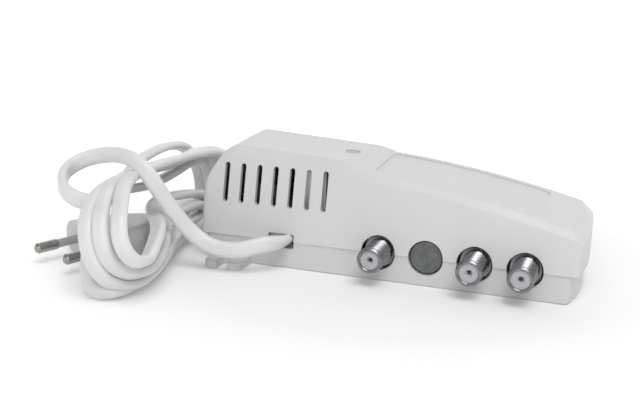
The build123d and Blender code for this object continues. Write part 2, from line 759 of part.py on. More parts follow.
FREE_ROUTE = [
    (-36.0, -16.0, 10.8),
    (-36.0, -23.0, 10.8),
    (-36.8, -30.0, 10.2),
    (-42.5, -36.5, 8.4),
    (-51.0, -39.0, 7.6),
    (-60.5, -39.5, 12.0),
    (-67.5, -41.0, 20.5),
    (-72.5, -45.5, 30.5),
    (-78.5, -48.5, 39.5),
    (-88.0, -46.0, 45.0),
    (-97.8, -40.5, 45.6),
    (-106.0, -38.0, 44.4),
    (-112.2, -41.5, 42.4),
    (-115.4, -49.0, 39.4),
    (-115.0, -58.5, 35.8),
]
ENTRY = [(-110.4, -66.4, 31.8), (-105.0, -65.6, 28.4), (-103.8, -55.5, 27.8), (-104.6, -38.0, 30.2)]
TAIL = [
    (-85.0, 18.0, 34.5),
    (-82.6, 32.0, 28.5),
    (-81.5, 43.0, 18.0),
    (-85.0, 51.5, 8.5),
    (-94.0, 57.0, 4.0),
    (-105.0, 56.0, 3.0),
    (-112.5, 47.0, 3.0),
    (-114.0, 35.0, 3.0),
    (-111.5, 23.0, 3.4),
    (-106.6, 13.2, 6.4),
    (-100.2, 6.8, 9.0),
    (-93.6, 2.0, 9.8),
]
TURNS = 4


def lane(point, step, k):
    """Place of strand k beside the first one."""
    return tuple(point[i] + step[i] * k for i in range(3))


def half_turn(centre, radius, along, across):
    """Five corners around a half circle of a loop."""
    a = Vector(*along).normalized()
    c = Vector(*across)
    c = (c - a * c.dot(a)).normalized()
    reach = radius / math.cos(math.radians(18.75))
    found = []
    for degrees in (-75, -37.5, 0, 37.5, 75):
        angle = math.radians(degrees)
        spot = Vector(*centre) + (a * math.cos(angle) + c * math.sin(angle)) * reach
        found.append((spot.X, spot.Y, spot.Z))
    return found


def hank_route():
    """Loops laid side by side, upright past the housing's end and
    leaning at the near end, with the lower runs stacked at the waist."""
    route = list(ENTRY)
    for k in range(TURNS + 1):
        if k == 0:
            route.append((-105.6, -20.0, 33.6))
        else:
            route.append(lane((-101.4, -60.0, 34.2), (4.9, 0.8, 1.0), k - 1))
            route.append(lane((-102.6, -38.0, 36.2), (5.0, 0.0, 0.3), k - 1))
            route.append(lane((-100.6, -19.0, 37.2), (5.0, 0.0, 0.3), k - 1))
        route.append(lane((-105.4, 1.0, 36.8), (5.0, 0.0, 0.0), k))
        if k == TURNS:
            break
        far = lane((-103.0, 21.0, 19.6), (5.05, 0.0, 1.0), k)
        route += half_turn(far, 15.4 - 0.5 * k, (0, 1, 0), (0.26, 0, -1))
        route.append(lane((-96.0, 9.0, 4.4), (4.2, 0.6, 3.4), k))
        route.append(lane((-87.0, -4.0, 5.2), (2.0, 1.6, 5.0), k))
        route.append(lane((-82.6, -19.0, 6.4), (-0.1, 0.0, 5.0), k))
        route.append(lane((-81.6, -34.0, 6.4), (1.7, 0.3, 4.8), k))
        route.append(lane((-80.8, -49.0, 5.0), (4.1, 0.7, 3.1), k))
        near = lane((-85.2, -73.5, 17.6), (4.8, 1.2, 1.6), k)
        route += half_turn(near, 15.6, (0.10, -0.85, -0.50), (-0.42, -0.50, 0.76))
    return route + TAIL


def corner_radii(route):
    """Arc at each corner, as large as its two runs allow."""
    found = []
    for i in range(1, len(route) - 1):
        before = Vector(*route[i]) - Vector(*route[i - 1])
        after = Vector(*route[i + 1]) - Vector(*route[i])
        turn = math.radians(before.get_angle(after))
        short = min(before.length, after.length)
        found.append(0.45 * short / math.tan(turn / 2))
    return found


def tube(route, radii):
    """Tube of many flat sides along the route."""
    path = FilletPolyline(*route, radius=radii)
    section = Plane(origin=path @ 0, z_dir=path % 0) * RegularPolygon(CORD_R, CORD_SIDES)
    solid = sweep(section, path=path)
    return solid, path


def midpoint(a, b):
    return tuple((a[i] + b[i]) / 2 for i in range(3))


def least_gap(path):
    """Least clear distance between turns, on points along the path."""
    count = int(path.length / 2.0)
    spots = [path @ (i / count) for i in range(count + 1)]
    pace = path.length / count
    apart = int(14.0 / pace)
    best = 999.0
    for i in range(len(spots)):
        for j in range(i + apart, len(spots)):
            best = min(best, (spots[i] - spots[j]).length)
    return best - 2 * CORD_R


def cord():
    """Free stretch and hank, which meet face to face on a straight run."""
    axis = Vector(*PLUG_AXIS).normalized()
    rear = Vector(*PLUG_FACE) + axis * PLUG_LENGTH
    lead = rear + axis * 9.6
    whole = FREE_ROUTE + hank_route() + [(lead.X, lead.Y, lead.Z), (rear.X, rear.Y, rear.Z)]
    radii = corner_radii(whole)
    split_at = len(FREE_ROUTE) - 1
    join = midpoint(whole[split_at - 1], whole[split_at])
    free, free_path = tube(whole[:split_at] + [join], radii[: split_at - 1])
    hank, hank_path = tube([join] + whole[split_at:], radii[split_at - 1:])
    for name, solid, path in (("cord_free", free, free_path), ("cord_hank", hank, hank_path)):
        expected = CORD_SIDES / 2 * CORD_R**2 * math.sin(2 * math.pi / CORD_SIDES) * path.length
        print(name, "length %.0f" % path.length, "volume / section x length %.3f" % (solid.volume / expected))
    print("free radii", [round(r, 1) for r in radii[: split_at - 1]])
    print("hank radii from %.1f" % min(radii[split_at - 1:]))
    print("hank least gap %.2f" % least_gap(hank_path))
    return free, hank


def plug_frame():
    """Plane on the plug's face; its Z runs towards the cord."""
    axis = Vector(*PLUG_AXIS).normalized()
    return Plane(origin=PLUG_FACE, x_dir=Vector(*PLUG_SIDE).normalized(), z_dir=axis)


def plug_body():
    """Flat two-pin plug, wide at its face and narrow at the cord."""
    frame = plug_frame()
    sections = []
    for depth, wide, tall, r in ((0, 35.3, 13.8, 5.5), (12.0, 34.0, 13.8, 5.5), (25.0, 20.0, 12.0, 5.0), (PLUG_LENGTH, 11.5, 9.6, 4.2)):
        sections.append(frame * Pos(0, 0, depth) * RectangleRounded(wide, tall, r))
    body = loft(sections, ruled=True)
    return body


def plug_pins():
    """Bare ends of the pins and the part under the sleeve."""
    frame = plug_frame()
    found = []
    for s in (-1, 1):
        x = s * PIN_SPACING / 2
        tip = frame * Pos(x, 0, -14.5) * Cylinder(PIN_R, 9.0)
        ends = tip.edges().filter_by(GeomType.CIRCLE)
        far = sorted(ends, key=lambda e: (e.center() - Vector(*PLUG_FACE)).length)[-1]
        tip = chamfer(far, 0.9)
        core = frame * Pos(x, 0, -5.1) * Cylinder(1.2, 10.2)
        found.append(tip + core)
    return found


def plug_pin_sleeves():
    frame = plug_frame()
    found = []
    for s in (-1, 1):
        x = s * PIN_SPACING / 2
        sleeve = frame * Pos(x, 0, -5.0) * Cylinder(SLEEVE_R, 9.98)
        found.append(sleeve - frame * Pos(x, 0, -5.0) * Cylinder(1.22, 12))
    return found


def main():
    save("base_shell", base_shell())
    save("cover_shell", cover_shell())
    save("housing_screws", housing_screws())
    save("circuit_board", cut_board_for_leads(circuit_board()))
    save("board_screws", board_screws())
    for name, x in zip(("left", "middle", "right"), PORTS):
        save("connector_shell_" + name, connector_shell(x))
        save("connector_insulator_" + name, connector_insulator(x))
        save("connector_contact_" + name, connector_contact(x))
    save("gain_potentiometer", gain_potentiometer())
    save("gain_knob", gain_knob())
    save("shield_frame", shield_frame())
    save("shield_lid", shield_lid())
    save("amplifier_chip", amplifier_chip())
    save("ferrite_cores", ferrite_cores())
    save("core_windings", core_windings())
    save("chip_components", chip_components())
    save("transformer_core", transformer_core())
    save("transformer_bobbin", transformer_bobbin())
    save("transformer_winding", transformer_winding())
    save("transformer_pins", transformer_pins())
    save("fuse_tube", fuse_tube())
    save("fuse_caps", fuse_caps())
    save("fuse_clips", fuse_clips())
    save("rectifier_diodes", rectifier_diodes())
    save("smoothing_capacitor", smoothing_capacitor())
    save("voltage_regulator", voltage_regulator())
    save("heatsink", heatsink())
    save("heatsink_screw", heatsink_screw())
    save("power_led", power_led())
    save("indicator_lens", indicator_lens())
    save("cord_clamp", cord_clamp())
    save("clamp_screws", clamp_screws())
    save("mains_wires", mains_wires())
    free, hank = cord()
    save("cord_free", free)
    save("cord_hank", hank)
    save("plug_body", plug_body())
    save("plug_pins", plug_pins())
    save("plug_pin_sleeves", plug_pin_sleeves())


main()
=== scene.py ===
import json
import math

import bmesh
import bpy
from mathutils import Matrix, Vector


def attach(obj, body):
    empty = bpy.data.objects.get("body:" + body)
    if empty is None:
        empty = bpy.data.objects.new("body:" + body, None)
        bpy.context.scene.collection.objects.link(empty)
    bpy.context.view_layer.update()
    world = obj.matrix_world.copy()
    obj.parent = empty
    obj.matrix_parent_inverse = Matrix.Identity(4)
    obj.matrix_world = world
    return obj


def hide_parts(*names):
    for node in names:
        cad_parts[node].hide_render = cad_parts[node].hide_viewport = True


# Metres, in the frame of the solids: -Y is the connector wall, X runs along it, +Z is up

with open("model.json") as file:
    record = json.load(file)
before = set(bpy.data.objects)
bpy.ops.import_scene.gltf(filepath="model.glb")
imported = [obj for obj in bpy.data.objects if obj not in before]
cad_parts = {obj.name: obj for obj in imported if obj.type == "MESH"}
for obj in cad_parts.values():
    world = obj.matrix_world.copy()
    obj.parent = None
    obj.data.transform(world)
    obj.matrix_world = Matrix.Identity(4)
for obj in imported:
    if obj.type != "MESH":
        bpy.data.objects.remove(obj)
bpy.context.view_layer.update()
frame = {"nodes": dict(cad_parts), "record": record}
nodes = frame["nodes"]

# Camera

# Solved from the photograph: place in metres, turns in radians, focal length in pixels
CAMERA_PLACE = Vector((0.091313, -0.355841, 0.113423))
CAMERA_YAW = 0.332
CAMERA_PITCH = 0.237
CAMERA_ROLL = 0.028
FOCAL_PIXELS = 966.405
PICTURE_PIXELS = 640
SENSOR_MM = 36.0


def make_camera():
    """Camera at the photograph's place: level along Y, then turned, tipped and twisted."""
    level = Matrix(((1, 0, 0), (0, 0, -1), (0, 1, 0)))
    turn = Matrix.Rotation(-CAMERA_YAW, 3, "Z")
    tip = Matrix.Rotation(CAMERA_PITCH, 3, "X")
    twist = Matrix.Rotation(CAMERA_ROLL, 3, "Z")
    right, down, ahead = twist @ tip @ level @ turn
    cam = bpy.data.cameras.new("camera")
    cam.sensor_width = SENSOR_MM
    cam.lens = FOCAL_PIXELS / PICTURE_PIXELS * SENSOR_MM
    cam.clip_start = 0.01
    cam.clip_end = 20
    obj = bpy.data.objects.new("camera", cam)
    pose = Matrix((right, -down, -ahead)).transposed().to_4x4()
    pose.translation = CAMERA_PLACE
    obj.matrix_world = pose
    bpy.context.scene.collection.objects.link(obj)
    bpy.context.scene.camera = obj


# Materials

# Sockets of a Mix node that mixes colours: factor, first and second colour, and its result
MIX_INPUTS = (0, 6, 7)
MIX_OUTPUT = 2


def set_inputs(node, values):
    """Values for a node's inputs; an underscore in a key stands for a space."""
    for key, value in values.items():
        node.inputs[key.replace("_", " ")].default_value = value


def as_color(value):
    """A grey level or a colour, with full alpha."""
    shade = value if hasattr(value, "__len__") else (value, value, value)
    return (*shade, 1)


class Surface:
    """A material built of nodes round one Principled shader, on object coordinates."""

    def __init__(self, name, color, rough, metallic=0.0, **sockets):
        self.mat = bpy.data.materials.new(name)
        self.mat.use_nodes = True
        self.tree = self.mat.node_tree
        self.shader = self.tree.nodes["Principled BSDF"]
        self.color = color
        self.rough = rough
        self.shader.inputs["Base Color"].default_value = as_color(color)
        self.shader.inputs["Roughness"].default_value = rough
        self.shader.inputs["Metallic"].default_value = metallic
        set_inputs(self.shader, sockets)
        self.coords = self.tree.nodes.new("ShaderNodeTexCoord").outputs["Object"]
        self.normal = None

    def node(self, kind, **inputs):
        made = self.tree.nodes.new(kind)
        set_inputs(made, inputs)
        return made

    def link(self, output, socket):
        self.tree.links.new(output, socket)

    def stretched(self, scale):
        """Object coordinates, scaled along each axis."""
        mapping = self.node("ShaderNodeMapping", Scale=scale)
        self.link(self.coords, mapping.inputs["Vector"])
        return mapping.outputs["Vector"]

    def noise(self, scale, detail=3.0, rough=0.55, coords=None):
        made = self.node("ShaderNodeTexNoise", Scale=scale, Detail=detail, Roughness=rough)
        self.link(coords or self.coords, made.inputs["Vector"])
        return made.outputs["Fac"]

    def ramp(self, value, low, high, start=0.35, end=0.65):
        """From low up to the start to high from the end on; each is a grey or a colour."""
        made = self.node("ShaderNodeValToRGB")
        stops = made.color_ramp.elements
        stops[0].position = start
        stops[1].position = end
        stops[0].color = as_color(low)
        stops[1].color = as_color(high)
        self.link(value, made.inputs["Fac"])
        return made.outputs["Color"]

    def mixed(self, factor, base, marked):
        """The base colour, and the marked one where the factor is 1."""
        made = self.node("ShaderNodeMix")
        made.data_type = "RGBA"
        factor_in, base_in, marked_in = (made.inputs[i] for i in MIX_INPUTS)
        self.link(factor, factor_in)
        self.link(base, base_in)
        marked_in.default_value = as_color(marked)
        return made.outputs[MIX_OUTPUT]

    def vary_color(self, scale, amount, tint=(1, 1, 1), detail=3.0):
        """Soft patches of another tint, darker by the amount than the base colour."""
        dark = tuple(c * (1 - amount) * t for c, t in zip(self.color, tint))
        patches = self.noise(scale, detail)
        self.link(self.ramp(patches, dark, self.color), self.shader.inputs["Base Color"])

    def vary_rough(self, scale, amount, coords=None):
        """Roughness that wanders by the amount to either side."""
        low = max(0.02, self.rough - amount)
        high = min(1.0, self.rough + amount)
        patches = self.noise(scale, detail=4.0, coords=coords)
        self.link(self.ramp(patches, low, high, start=0.3, end=0.7), self.shader.inputs["Roughness"])

    def bump(self, height, strength, distance):
        """Relief laid over any relief that is there already."""
        made = self.node("ShaderNodeBump", Strength=strength, Distance=distance)
        self.link(height, made.inputs["Height"])
        if self.normal is not None:
            self.link(self.normal, made.inputs["Normal"])
        self.normal = made.outputs["Normal"]
        self.link(self.normal, self.shader.inputs["Normal"])


def moulded(name, color, rough, grain=2600.0, depth=0.00003, strength=0.25, **sockets):
    """Moulded plastic: fine spark-eroded grain, slight sink and a little colour drift."""
    made = Surface(name, color, rough, **sockets)
    made.vary_color(scale=38.0, amount=0.035, tint=(1.0, 0.998, 0.99))
    made.vary_rough(scale=900.0, amount=0.05)
    made.bump(made.noise(60.0, detail=1.0), strength=0.08, distance=0.0004)
    made.bump(made.noise(grain, detail=2.0, rough=0.6), strength, depth)
    return made


def metal(name, color, rough, marks=(1, 1, 1), grain=1500.0, strength=0.12, spots=0.10):
    """Metal with fine working marks, drawn out as given, and faint patches of tarnish."""
    made = Surface(name, color, rough, metallic=1.0)
    made.vary_color(scale=420.0, amount=spots, tint=(1.0, 0.985, 0.96))
    lines = made.stretched(marks)
    made.vary_rough(grain, amount=0.07, coords=lines)
    made.bump(made.noise(grain, detail=3.0, rough=0.6, coords=lines), strength, distance=0.00002)
    return made


def knob_plastic():
    """Grey disc, a little mottled."""
    made = moulded("knob_plastic", (0.135, 0.14, 0.14), 0.50, grain=2200.0, depth=0.00004, strength=0.35)
    made.vary_color(scale=420.0, amount=0.30, detail=2.0)
    return made


def circuit_laminate():
    """Solder mask over buried tracks, on a faint weave."""
    made = Surface("circuit_laminate", (0.035, 0.16, 0.055), 0.30, Coat_Weight=0.3)
    tracks = made.node(
        "ShaderNodeTexBrick", Scale=1.0, Mortar_Size=0.00035, Brick_Width=0.0062, Row_Height=0.0027
    )
    made.link(made.coords, tracks.inputs["Vector"])
    mask = made.ramp(made.noise(1400.0, detail=2.0), low=(0.03, 0.13, 0.045), high=(0.045, 0.19, 0.07))
    colored = made.mixed(tracks.outputs["Fac"], base=mask, marked=(0.07, 0.27, 0.10))
    made.link(colored, made.shader.inputs["Base Color"])
    made.bump(tracks.outputs["Fac"], strength=0.3, distance=0.00004)
    made.vary_rough(scale=600.0, amount=0.08)
    return made


def winding_tape():
    """Polyester tape wound over a coil: overlapping edges along its height."""
    made = Surface("winding_tape", (0.13, 0.10, 0.03), 0.35, Coat_Weight=0.2)
    edges = made.node("ShaderNodeTexWave", Scale=55.0, Distortion=0.4, Detail=1.0)
    edges.bands_direction = "Z"
    made.link(made.coords, edges.inputs["Vector"])
    laps = made.ramp(edges.outputs["Fac"], low=(0.10, 0.075, 0.025), high=(0.16, 0.12, 0.04))
    made.link(laps, made.shader.inputs["Base Color"])
    made.bump(edges.outputs["Fac"], strength=0.2, distance=0.0001)
    return made


def fuse_glass():
    made = Surface("fuse_glass", (0.95, 0.97, 0.97), 0.04, Transmission_Weight=1.0, IOR=1.5)
    made.vary_rough(scale=800.0, amount=0.03)
    return made


def shrink_sleeve():
    """Dark blue film shrunk over the capacitor."""
    made = Surface("shrink_sleeve", (0.012, 0.018, 0.05), 0.28)
    made.vary_color(scale=300.0, amount=0.25)
    made.bump(made.noise(500.0, detail=2.0), strength=0.15, distance=0.0001)
    return made


def led_resin():
    made = Surface("led_resin", (0.42, 0.02, 0.015), 0.12, Coat_Weight=0.5)
    made.vary_color(scale=250.0, amount=0.3)
    return made


def lens_plastic():
    """Smoky clear plastic of the lamp's window."""
    made = Surface("lens_plastic", (0.14, 0.11, 0.11), 0.10, Coat_Weight=0.6)
    made.vary_color(scale=400.0, amount=0.2)
    made.bump(made.noise(700.0, detail=1.0), strength=0.05, distance=0.00005)
    return made


def wire_insulation():
    """Insulation of the inner wires, from one tint to another."""
    made = Surface("wire_insulation", (0.10, 0.07, 0.20), 0.35)
    made.vary_color(scale=160.0, amount=0.3, tint=(2.4, 1.4, 0.5), detail=0.0)
    made.bump(made.noise(1200.0, detail=2.0), strength=0.1, distance=0.00003)
    return made


def cord_vinyl():
    """Soft jacket of the mains cord: even, slightly satin, with a faint waviness."""
    made = Surface("cord_vinyl", (0.69, 0.69, 0.70), 0.36, Specular_IOR_Level=0.45)
    made.vary_color(scale=55.0, amount=0.05, tint=(1.0, 1.0, 0.99))
    made.vary_rough(scale=700.0, amount=0.06)
    made.bump(made.noise(160.0, detail=2.0), strength=0.12, distance=0.0003)
    made.bump(made.noise(2200.0, detail=2.0), strength=0.12, distance=0.00002)
    return made


def slot_materials():
    """A surface for each material slot of the record."""
    return {
        "housing": moulded(
            "housing_plastic", (0.60, 0.60, 0.60), 0.42, grain=2400.0, strength=0.22, Specular_IOR_Level=0.42
        ),
        "screw_steel": metal("zinc_steel", (0.60, 0.60, 0.57), 0.34, grain=2200.0),
        "plated_metal": metal(
            "nickel_plate", (0.25, 0.25, 0.265), 0.27, marks=(1, 0.15, 1), grain=2600.0, strength=0.10
        ),
        "contact_brass": metal("contact_brass", (0.46, 0.40, 0.30), 0.30),
        "tinplate": metal(
            "tinned_sheet", (0.64, 0.64, 0.62), 0.36, marks=(1, 1, 0.2), grain=700.0, strength=0.10
        ),
        "heatsink_aluminium": metal(
            "aluminium_sheet", (0.70, 0.70, 0.71), 0.38, marks=(1, 1, 0.08), grain=900.0, strength=0.16
        ),
        "pin_metal": metal(
            "pin_nickel", (0.36, 0.36, 0.34), 0.30, marks=(1, 0.1, 1), grain=2400.0, strength=0.10, spots=0.16
        ),
        "lamination_steel": metal(
            "varnished_laminations", (0.30, 0.31, 0.32), 0.45, grain=500.0, strength=0.1
        ),
        "copper": metal(
            "enamelled_copper", (0.66, 0.30, 0.14), 0.25, grain=900.0, strength=0.1, spots=0.2
        ),
        "knob_grey": knob_plastic(),
        "connector_plastic": moulded(
            "insulator_plastic", (0.42, 0.42, 0.445), 0.38, grain=3000.0, depth=0.00001, strength=0.12
        ),
        "component_black": moulded(
            "component_epoxy", (0.022, 0.022, 0.024), 0.48, grain=3200.0, depth=0.00002, strength=0.35
        ),
        "component_tan": moulded(
            "component_ceramic", (0.42, 0.30, 0.17), 0.4, depth=0.00001, strength=0.2
        ),
        "ferrite": moulded("ferrite_ceramic", (0.045, 0.042, 0.042), 0.55, grain=2400.0, strength=0.4),
        "winding_tape": winding_tape(),
        "board_laminate": circuit_laminate(),
        "glass": fuse_glass(),
        "capacitor_sleeve": shrink_sleeve(),
        "led_resin": led_resin(),
        "lens": lens_plastic(),
        "wire_insulation": wire_insulation(),
        "cord_jacket": moulded("plug_plastic", (0.60, 0.60, 0.61), 0.36, depth=0.00002, strength=0.18),
        "sleeve_plastic": moulded("sleeve_plastic", (0.32, 0.32, 0.34), 0.40, depth=0.00002, strength=0.2),
    }


def paint_nodes(surfaces):
    """Each CAD node takes the material of its slot."""
    slots = {part["node"]: part["material_slot"] for part in frame["record"]["subparts"]}
    for name, obj in nodes.items():
        mat = surfaces[slots[name]].mat
        if not obj.material_slots:
            obj.data.materials.append(mat)
        for spot in obj.material_slots:
            spot.material = mat


# Meshes

ROW_Z = 0.0108


def round_vertex(bm, x, y, r, turn):
    """Vertex at a share of a turn round an axis along Y at the connector row's height."""
    angle = 2 * math.pi * turn
    return bm.verts.new((x + r * math.cos(angle), y, ROW_Z + r * math.sin(angle)))


def turned_rings(bm, x, profile, count):
    """A ring of vertices for each depth and radius of a turned profile."""
    return [[round_vertex(bm, x, y, r, i / count) for i in range(count)] for y, r in profile]


def bridge(bm, rings):
    """Faces from each ring to the next."""
    for a, b in zip(rings, rings[1:]):
        for i in range(len(a)):
            j = (i + 1) % len(a)
            bm.faces.new((a[i], a[j], b[j], b[i]))


def block(bm, x_range, y_range, z_range, edge):
    """Block with rounded edges."""
    made = bmesh.ops.create_cube(bm, size=1.0)["verts"]
    for v in made:
        v.co = [span[0] if c < 0 else span[1] for c, span in zip(v.co, (x_range, y_range, z_range))]
    edges = list({e for v in made for e in v.link_edges})
    bmesh.ops.bevel(bm, geom=edges, offset=edge, segments=2, affect="EDGES", profile=0.6)


def put(name, bm, surface, sharp_degrees=None):
    """Smoothly shaded object from a finished mesh, with sharp edges from the given angle on."""
    mesh = bpy.data.meshes.new(name)
    bm.to_mesh(mesh)
    bm.free()
    for face in mesh.polygons:
        face.use_smooth = True
    if sharp_degrees is not None:
        mesh.set_sharp_from_angle(angle=math.radians(sharp_degrees))
    mesh.materials.append(surface.mat)
    obj = bpy.data.objects.new(name, mesh)
    bpy.context.scene.collection.objects.link(obj)
    return obj


# Cord

CORD_WIDE = 0.0062
CORD_THICK = 0.0038
SECTION_POINTS = 28
# How sharply the outline parts to the two cores, and the groove in shares of a core's radius
CORE_SPREAD = 3.2
GROOVE_DEPTH = 0.10
GROOVE_WIDTH = 0.42
SPLINE_ORDER = 3
SPLINE_STEPS = 8
SIDE_SMOOTHING = 6

# Middle of the plug's pin face, the way from it to the cord, and the plug's length;
# the cord lines up this far behind the plug and goes this far into it
PLUG_FACE = Vector((-0.108, -0.0455, 0.0071))
PLUG_AXIS = Vector((0.39, 0.92, 0.03)).normalized()
PLUG_LENGTH = 0.034
PLUG_APPROACH = 0.0096
PLUG_GRIP = 0.0010

# Ways that the cord's wide side runs
UPRIGHT = (0, 0, 1)
FAR_WIDE = (0.97, 0, 0.25)
NEAR_WIDE = (0.91, -0.14, 0.41)
STACK_WIDE = (1, 0.1, 0.1)
PLUG_WIDE = (-0.92, 0.39, 0)

# From inside the housing to the big loop's turn, each point with the way of the wide side
FREE_ROUTE = [
    ((-0.0367, -0.0160, 0.0108), (0.75, 0, 0.66)),
    ((-0.0367, -0.0232, 0.0109), (0.75, 0, 0.66)),
    ((-0.0369, -0.0298, 0.0118), (0.4, 0.3, 0.85)),
    ((-0.0415, -0.0350, 0.0121), (0.1, 0.1, 1)),
    ((-0.0500, -0.0388, 0.0092), UPRIGHT),
    ((-0.0609, -0.0398, 0.0100), (0.1, 0.3, 0.9)),
    ((-0.0689, -0.0410, 0.0155), (0.2, 0.4, 0.85)),
    ((-0.0752, -0.0455, 0.0259), (0.2, 0.4, 0.87)),
    ((-0.0794, -0.0505, 0.0367), (0.1, 0.2, 1)),
    ((-0.0862, -0.0485, 0.0421), UPRIGHT),
    ((-0.0979, -0.0415, 0.0424), UPRIGHT),
    ((-0.1093, -0.0380, 0.0404), UPRIGHT),
    ((-0.1172, -0.0405, 0.0374), UPRIGHT),
    ((-0.1189, -0.0475, 0.0342), UPRIGHT),
    ((-0.1138, -0.0560, 0.0302), UPRIGHT),
]
# From the big loop into the hank
ENTRY = [
    ((-0.1060, -0.0595, 0.0280), (0.1, 0.1, 1)),
    ((-0.1008, -0.0545, 0.0256), (0.3, 0.1, 0.95)),
    ((-0.1001, -0.0445, 0.0254), (0.8, 0, 0.6)),
    ((-0.1042, -0.0280, 0.0250), FAR_WIDE),
]
# Each turn's upper run, from the near end to the far one
OVER = [
    [
        (-0.1090, -0.0140, 0.0317),
        (-0.1054, 0.0010, 0.0368),
    ],
    [
        (-0.0946, -0.0580, 0.0288),
        (-0.0986, -0.0410, 0.0283),
        (-0.0993, -0.0200, 0.0251),
        (-0.0986, 0.0000, 0.0262),
    ],
    [
        (-0.0938, -0.0632, 0.0331),
        (-0.0984, -0.0405, 0.0329),
        (-0.0983, -0.0190, 0.0320),
        (-0.0972, 0.0010, 0.0309),
    ],
    [
        (-0.0906, -0.0604, 0.0346),
        (-0.0959, -0.0380, 0.0346),
        (-0.0938, -0.0190, 0.0349),
        (-0.0925, 0.0010, 0.0339),
    ],
    [
        (-0.0847, -0.0606, 0.0367),
        (-0.0902, -0.0380, 0.0363),
        (-0.0884, -0.0190, 0.0366),
        (-0.0873, 0.0010, 0.0357),
    ],
]
# Each turn's half loop past the housing's end
FAR_TURN = [
    [
        (-0.1070, 0.0252, 0.0348),
        (-0.1055, 0.0339, 0.0292),
        (-0.1030, 0.0373, 0.0196),
        (-0.1005, 0.0339, 0.0100),
        (-0.0990, 0.0252, 0.0044),
    ],
    [
        (-0.1009, 0.0251, 0.0280),
        (-0.0996, 0.0335, 0.0276),
        (-0.0979, 0.0367, 0.0206),
        (-0.0955, 0.0335, 0.0113),
        (-0.0941, 0.0251, 0.0059),
    ],
    [
        (-0.0979, 0.0249, 0.0333),
        (-0.0952, 0.0331, 0.0306),
        (-0.0929, 0.0362, 0.0216),
        (-0.0906, 0.0331, 0.0126),
        (-0.0892, 0.0249, 0.0074),
    ],
    [
        (-0.0944, 0.0248, 0.0336),
        (-0.0901, 0.0326, 0.0312),
        (-0.0878, 0.0357, 0.0226),
        (-0.0856, 0.0326, 0.0140),
        (-0.0843, 0.0248, 0.0089),
    ],
]
# Each turn's lower run, back to the near end
UNDER = [
    [
        (-0.0960, 0.0090, 0.0044),
        (-0.0870, -0.0040, 0.0052),
        (-0.0851, -0.0190, 0.0056),
        (-0.0825, -0.0340, 0.0033),
        (-0.0764, -0.0553, 0.0026),
    ],
    [
        (-0.0918, 0.0096, 0.0078),
        (-0.0850, -0.0024, 0.0102),
        (-0.0846, -0.0190, 0.0094),
        (-0.0802, -0.0357, 0.0080),
        (-0.0735, -0.0553, 0.0068),
    ],
    [
        (-0.0876, 0.0102, 0.0112),
        (-0.0842, -0.0008, 0.0154),
        (-0.0868, -0.0190, 0.0158),
        (-0.0838, -0.0334, 0.0140),
        (-0.0742, -0.0516, 0.0118),
    ],
    [
        (-0.0834, 0.0108, 0.0146),
        (-0.0872, 0.0008, 0.0200),
        (-0.0932, -0.0190, 0.0206),
        (-0.0884, -0.0345, 0.0212),
        (-0.0752, -0.0519, 0.0198),
    ],
]
# Each turn's half loop at the near end
NEAR_TURN = [
    [
        (-0.0752, -0.0725, 0.0026),
        (-0.0769, -0.0836, 0.0026),
        (-0.0866, -0.0828, 0.0040),
        (-0.0878, -0.0800, 0.0146),
        (-0.0892, -0.0745, 0.0243),
    ],
    [
        (-0.0721, -0.0696, 0.0040),
        (-0.0743, -0.0800, 0.0044),
        (-0.0787, -0.0879, 0.0101),
        (-0.0821, -0.0900, 0.0208),
        (-0.0847, -0.0854, 0.0311),
    ],
    [
        (-0.0683, -0.0699, 0.0094),
        (-0.0709, -0.0803, 0.0093),
        (-0.0746, -0.0882, 0.0150),
        (-0.0766, -0.0903, 0.0246),
        (-0.0786, -0.0857, 0.0335),
    ],
    [
        (-0.0673, -0.0707, 0.0181),
        (-0.0646, -0.0811, 0.0149),
        (-0.0657, -0.0890, 0.0177),
        (-0.0688, -0.0911, 0.0247),
        (-0.0713, -0.0865, 0.0338),
    ],
]
# From the last upper run round the far end to the plug, each point with the way of the wide side
TAIL = [
    ((-0.0850, 0.0180, 0.0345), FAR_WIDE),
    ((-0.0826, 0.0320, 0.0285), FAR_WIDE),
    ((-0.0815, 0.0430, 0.0180), FAR_WIDE),
    ((-0.0850, 0.0515, 0.0085), (1, 0.3, 0.1)),
    ((-0.0940, 0.0570, 0.0040), (0.5, 1, 0)),
    ((-0.1050, 0.0560, 0.0030), (-0.1, 1, 0)),
    ((-0.1125, 0.0470, 0.0030), (-0.9, 0.5, 0)),
    ((-0.1140, 0.0350, 0.0030), (-1, 0, 0)),
    ((-0.1115, 0.0230, 0.0034), (-1, -0.2, 0)),
    ((-0.1066, 0.0132, 0.0064), (-1, 0.4, 0)),
    ((-0.1002, 0.0068, 0.0090), PLUG_WIDE),
    ((-0.0936, 0.0020, 0.0098), PLUG_WIDE),
]


def cord_route():
    """Control points of the cord's spline, each with the way its wide side runs."""
    route = FREE_ROUTE + ENTRY
    for k, upper in enumerate(OVER):
        # Past the entry, an upper run starts as the near turn before it ends
        start = NEAR_WIDE if k else FAR_WIDE
        route += zip(upper, [start] + [FAR_WIDE] * (len(upper) - 1))
        if k < len(FAR_TURN):
            route += [(p, FAR_WIDE) for p in FAR_TURN[k]]
            route += [(p, STACK_WIDE) for p in UNDER[k][:-1]]
            route += [(p, NEAR_WIDE) for p in UNDER[k][-1:] + NEAR_TURN[k]]
    rear = PLUG_FACE + PLUG_AXIS * PLUG_LENGTH
    into_plug = [(rear + PLUG_AXIS * PLUG_APPROACH, PLUG_WIDE), (rear - PLUG_AXIS * PLUG_GRIP, PLUG_WIDE)]
    return route + TAIL + into_plug


